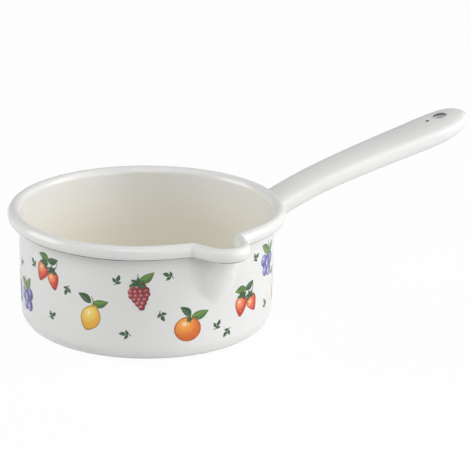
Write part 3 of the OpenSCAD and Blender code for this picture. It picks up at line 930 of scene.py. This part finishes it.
# Each row: motif, degrees round the wall from the lip's middle, height, turn
layout = [(blueberries, -103, 28, 8), (strawberries, -83, 50, -6), (lemon, -59, 30, 4),
          (raspberry, -37, 46, 10), (mandarin, -15, 24, -12), (strawberries, 17, 31, 8),
          (blueberries, 36, 51, -10), (lemon, 53, 27, -16), (mandarin, 70, 50, 6),
          (raspberry, 90, 24, -6), (strawberries, 116, 50, 8), (blueberries, 133, 27, -8),
          (lemon, 152, 49, 10), (mandarin, 170, 26, -4), (raspberry, 188, 50, 8),
          (strawberries, 207, 28, -10), (lemon, 225, 50, -14), (blueberries, 241, 27, 12)]
sprigPlaces = [(-94, 52, 40), (-81, 23, -60), (-71, 43, 150), (-47, 54, -30), (-43, 19, 80),
               (-27, 32, 200), (-24, 57, 60), (-1, 21, -40), (5, 15, 130), (24, 57, -70),
               (34, 22, 20), (44, 40, 100), (59, 62, -20), (72, 26, 210), (106, 29, 40),
               (126, 44, -50), (141, 62, 120), (146, 31, 10), (161, 30, -100), (178, 45, 60),
               (198, 33, 170), (216, 41, -30), (235, 38, 90), (250, 46, -70), (84, 50, -30)]


def placeMarks():
    spread = []
    motifs = [(make(), *place) for make, *place in layout]
    motifs += [(sprig(), *place) for place in sprigPlaces]
    for marks, degrees, height, turn in motifs:
        lean = math.radians(turn)
        radius = wallR(height) + pan["wall"]
        for one in marks:
            x = one["x"] * math.cos(lean) - one["y"] * math.sin(lean)
            y = one["x"] * math.sin(lean) + one["y"] * math.cos(lean)
            spread.append({**one, "x": math.radians(degrees) + x * prints["size"] / radius,
                           "y": height + y * prints["size"], "turn": one["turn"] + turn,
                           "long": one["long"] * prints["size"]})
    return spread


def makePrintTree(names):  # plates on points, wrapped round the leaning wall
    tree = bpy.data.node_groups.new("printedFruit", "GeometryNodeTree")
    asks = {"Points": "Geometry", "Wall Radius": "Float", "Wall Slope": "Float",
            "Paint": "Material"}
    for name in names:
        asks["Plate " + name] = "Object"
    for label, kind in asks.items():
        tree.interface.new_socket(label, in_out="INPUT", socket_type="NodeSocket" + kind)
    tree.interface.new_socket("Print", in_out="OUTPUT", socket_type="NodeSocketGeometry")
    maker = Maker(tree)
    asked = {s.name: Value(maker, s) for s in tree.nodes.new("NodeGroupInput").outputs if s.name}
    joined = tree.nodes.new("GeometryNodeJoinGeometry")

    def named(label, kind="FLOAT"):
        return maker.node("GeometryNodeInputNamedAttribute", {"data_type": kind}, {"Name": label})

    turn = maker.node("FunctionNodeAxisAngleToRotation", {},
                      {"Axis": (0, 0, 1), "Angle": named("turn")})
    size = maker.node("ShaderNodeCombineXYZ", {}, [named("wideSize"), named("longSize"), 1])
    for index, name in enumerate(names):
        plate = maker.node("GeometryNodeObjectInfo", {}, {"Object": asked["Plate " + name]},
                           "Geometry")
        chosen = named("shape").isAbout(index)
        copies = maker.node("GeometryNodeInstanceOnPoints", {},
                            {"Points": asked["Points"], "Selection": chosen, "Instance": plate,
                             "Rotation": turn, "Scale": size})
        tree.links.new(copies.socket, joined.inputs[0])
    real = maker.node("GeometryNodeRealizeInstances", {}, [Value(maker, joined.outputs[0])])
    x, z, out = maker.parts(maker.node("GeometryNodeInputPosition"))
    radius = asked["Wall Radius"] + z * asked["Wall Slope"]
    angle = x / radius
    wrapped = maker.node("ShaderNodeCombineXYZ", {},
                         [(radius + out) * angle.sine(), (radius + out) * angle.cosine() * -1, z])
    set_ = maker.node("GeometryNodeSetPosition", {}, {"Geometry": real, "Position": wrapped})
    painted = maker.node("GeometryNodeSetMaterial", {},
                         {"Geometry": set_, "Material": asked["Paint"]})
    tree.links.new(painted.socket, tree.nodes.new("NodeGroupOutput").inputs[0])
    return tree


def makePrints():
    marks = placeMarks()
    names = list(shapes)
    plates = {name: makePlate(name, place) for name, place in shapes.items()}
    mesh = bpy.data.meshes.new("printed_fruit")
    places = []
    for one in marks:
        out = prints["standOff"] + one["layer"] * prints["layerStep"]
        radius = wallR(one["y"]) + pan["wall"]
        places.append((one["x"] * radius * mm, one["y"] * mm, out * mm))
    mesh.from_pydata(places, [], [])
    piece = bpy.data.objects.new("printed_fruit", mesh)
    bpy.context.scene.collection.objects.link(piece)
    addAttribute(piece, "shape", [names.index(one["shape"]) for one in marks])
    addAttribute(piece, "turn", [math.radians(one["turn"]) for one in marks])
    addAttribute(piece, "wideSize", [one["long"] * one["wide"] * mm for one in marks])
    addAttribute(piece, "longSize", [one["long"] * mm for one in marks])
    addAttribute(piece, "lightTone", [(*tones[one["tone"]][0], 1) for one in marks], "FLOAT_COLOR")
    addAttribute(piece, "deepTone", [(*tones[one["tone"]][1], 1) for one in marks], "FLOAT_COLOR")
    tree = makePrintTree(names)
    wrap = piece.modifiers.new("wrap", "NODES")
    wrap.node_group = tree
    values = {"Wall Radius": (wallR(0) + pan["wall"]) * mm, "Wall Slope": leanSlope,
              "Paint": printFinish}
    values.update({"Plate " + name: plate for name, plate in plates.items()})
    for socket in tree.interface.items_tree:
        if socket.name in values:
            wrap[socket.identifier] = values[socket.name]
    shown = piece.evaluated_get(bpy.context.evaluated_depsgraph_get())
    piece.data = bpy.data.meshes.new_from_object(shown)
    piece.modifiers.remove(wrap)
    for plate in plates.values():
        bpy.data.objects.remove(plate)
    for point in piece.data.vertices:  # on to the wall where it is drawn in beside the lip
        x, y, z = point.co / mm
        away = math.atan2(x, -y) - math.radians(pan["lipTurn"])
        inward = drawnIn(reachAt(z)) * drawnShare(away) / math.hypot(x, y)
        point.co *= Vector((1 - inward, 1 - inward, 1))
    smoothOver(piece.data)
    return piece


printedFruit = makePrints()
print("fruit printed:", len(printedFruit.data.polygons), "faces")

for piece, nodes, slot in ((panBody, ["pan_body"], "white_enamel"),
                           (creamLining, ["cream_lining"], "cream_enamel"),
                           (upperShell, ["handle_upper_shell"], "white_enamel"),
                           (lowerShell, ["handle_lower_shell"], "white_enamel"),
                           (seamWeld, ["handle_seam_weld"], "white_enamel"),
                           (rootWeld, ["handle_root_weld"], "white_enamel"),
                           (eyelet, ["hanging_eyelet"], "white_enamel"),
                           (ventBead, [], "white_enamel"),
                           (printedFruit, [], "white_enamel")):
    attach(piece, "root")
    if nodes:
        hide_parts(*nodes)

view = {"place": (-1.00406, -1.50401, 0.6579), "heading": (0.5807, 0.8141), "pitch": 18.36,
        "roll": 0.65, "lens": 229.87, "sensor": 36, "farClip": 20}
pitch, roll = math.radians(view["pitch"]), math.radians(view["roll"])
level = Vector((*view["heading"], 0)).normalized()
ahead = level * math.cos(pitch) + Vector((0, 0, -math.sin(pitch)))
right = ahead.cross(Vector((0, 0, 1))).normalized()
upward = right.cross(ahead)
camRight = right * math.cos(roll) + upward * math.sin(roll)
camUp = upward * math.cos(roll) - right * math.sin(roll)
camera = bpy.data.objects.new("camera", bpy.data.cameras.new("camera"))
bpy.context.scene.collection.objects.link(camera)
camera.matrix_world = Matrix((camRight, camUp, -ahead)).transposed().to_4x4()
camera.location = view["place"]
camera.data.sensor_width = view["sensor"]
camera.data.lens = view["lens"]
camera.data.clip_end = view["farClip"]
bpy.context.scene.camera = camera

# Each soft box: degrees round from the camera, to the right, degrees up, and watts
softBoxes = {"left": (-90, 20, 12.8), "right": (90, 20, 12.4), "overhead": (0, 50, 6.4),
             "frontRight": (45, 20, 6.0), "rightHigh": (90, 50, 6.0), "leftHigh": (-45, 50, 3.6),
             "farRight": (135, 20, 2.4)}
studio = {"aim": (0.05, 0, 0.04), "distance": 1.6, "boxSize": 1.0, "inGloss": 0.5}
cameraTurn = math.atan2(-view["heading"][1], -view["heading"][0])
for boxName, (around, up, power) in softBoxes.items():
    light = bpy.data.lights.new(boxName, "AREA")
    light.energy = power
    light.size = studio["boxSize"]
    turn = cameraTurn + math.radians(around)
    rise = math.radians(up)
    way = Vector((math.cos(turn) * math.cos(rise), math.sin(turn) * math.cos(rise), math.sin(rise)))
    lampObject = bpy.data.objects.new(boxName, light)
    lampObject.location = Vector(studio["aim"]) + way * studio["distance"]
    lampObject.rotation_euler = (way * -1).to_track_quat("-Z", "Y").to_euler()
    bpy.context.scene.collection.objects.link(lampObject)

world = bpy.data.worlds.new("studio")
bpy.context.scene.world = world
world.use_nodes = True
maker = Maker(world.node_tree)
background = world.node_tree.nodes["Background"]
background.inputs["Color"].default_value = (1, 1, 1, 1)
maker.put(background.inputs["Strength"], maker.seenWhite(1, studio["inGloss"]))

floorPaper = {"half": 6, "below": -0.4, "shade": 0.86, "roughness": 0.9, "byEye": 0.96}
floorMesh = bpy.data.meshes.new("floor")
corners = [(x * floorPaper["half"], y * floorPaper["half"], floorPaper["below"] * mm)
           for x, y in ((-1, -1), (1, -1), (1, 1), (-1, 1))]
floorMesh.from_pydata(corners, [], [(0, 1, 2, 3)])
floor = bpy.data.objects.new("floor", floorMesh)
bpy.context.scene.collection.objects.link(floor)
paperLook = {"Base Color": (*[floorPaper["shade"]] * 3, 1), "Roughness": floorPaper["roughness"]}
floorFinish, maker, shader = newFinish("floorPaper", paperLook)
bright = maker.node("ShaderNodeEmission", {}, {"Color": (1, 1, 1, 1), "Strength": 1.0})
paper = maker.node("ShaderNodeMixShader", {},
                   [maker.seenWhite(floorPaper["byEye"], studio["inGloss"]),
                    Value(maker, shader.outputs[0]), bright])
maker.put(floorFinish.node_tree.nodes["Material Output"].inputs["Surface"], paper)
floorMesh.materials.append(floorFinish)

bpy.context.scene.view_settings.view_transform = "Standard"
print("scene set")
